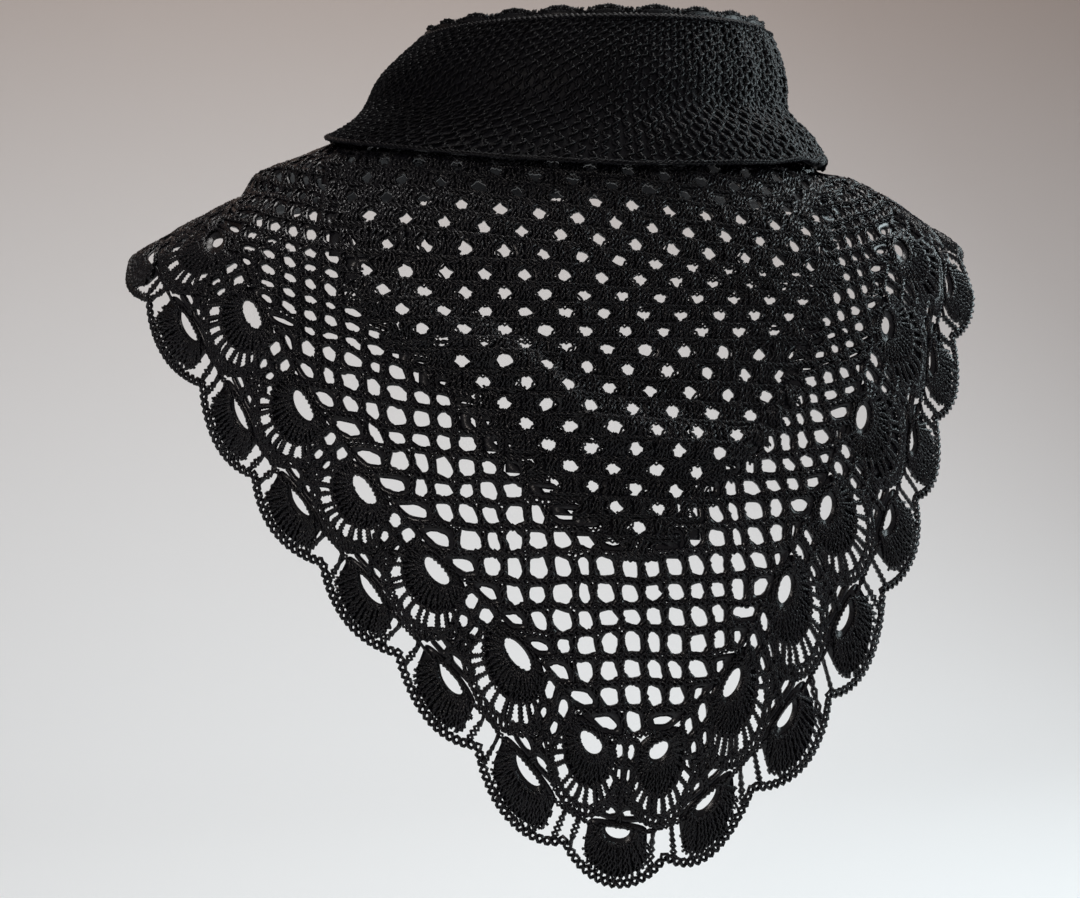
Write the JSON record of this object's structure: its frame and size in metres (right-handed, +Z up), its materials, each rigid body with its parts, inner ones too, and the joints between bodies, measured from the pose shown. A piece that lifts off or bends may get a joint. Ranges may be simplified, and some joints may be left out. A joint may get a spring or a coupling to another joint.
{
  "type": "crochet collar",
  "caption": "Openwork crochet kerchief collar with a standing turned-over neck part, a pointed front panel of net and a fan and scallop border",
  "frame": {"origin": "middle of the neck opening at the level of the neck part's hem, where the collar sits on the neck", "axes": "+Z up along the neck, -Y towards the front where the point hangs, +X to the right of someone who looks at the front"},
  "size_m": [0.3555, 0.2237, 0.328],
  "materials": {
    "dense_yarn": "dense black cotton crochet, matt with small glints on the strands",
    "edging_yarn": "black cotton shell edging",
    "cluster_yarn": "black cotton cluster stitches with small gaps",
    "net_yarn": "black cotton open net of chains and posts",
    "border_yarn": "black cotton fans, scallops and chain loops"
  },
  "bodies": {
    "root": {"neck_stand": "dense_yarn", "neck_fall": "dense_yarn", "neck_edging": "edging_yarn", "centre_triangle": "cluster_yarn", "net_left": "net_yarn", "net_right": "net_yarn", "net_lower": "net_yarn", "fan_row": "border_yarn", "scallop_row": "border_yarn", "back_panel": "dense_yarn"}
  },
  "joints": []
}
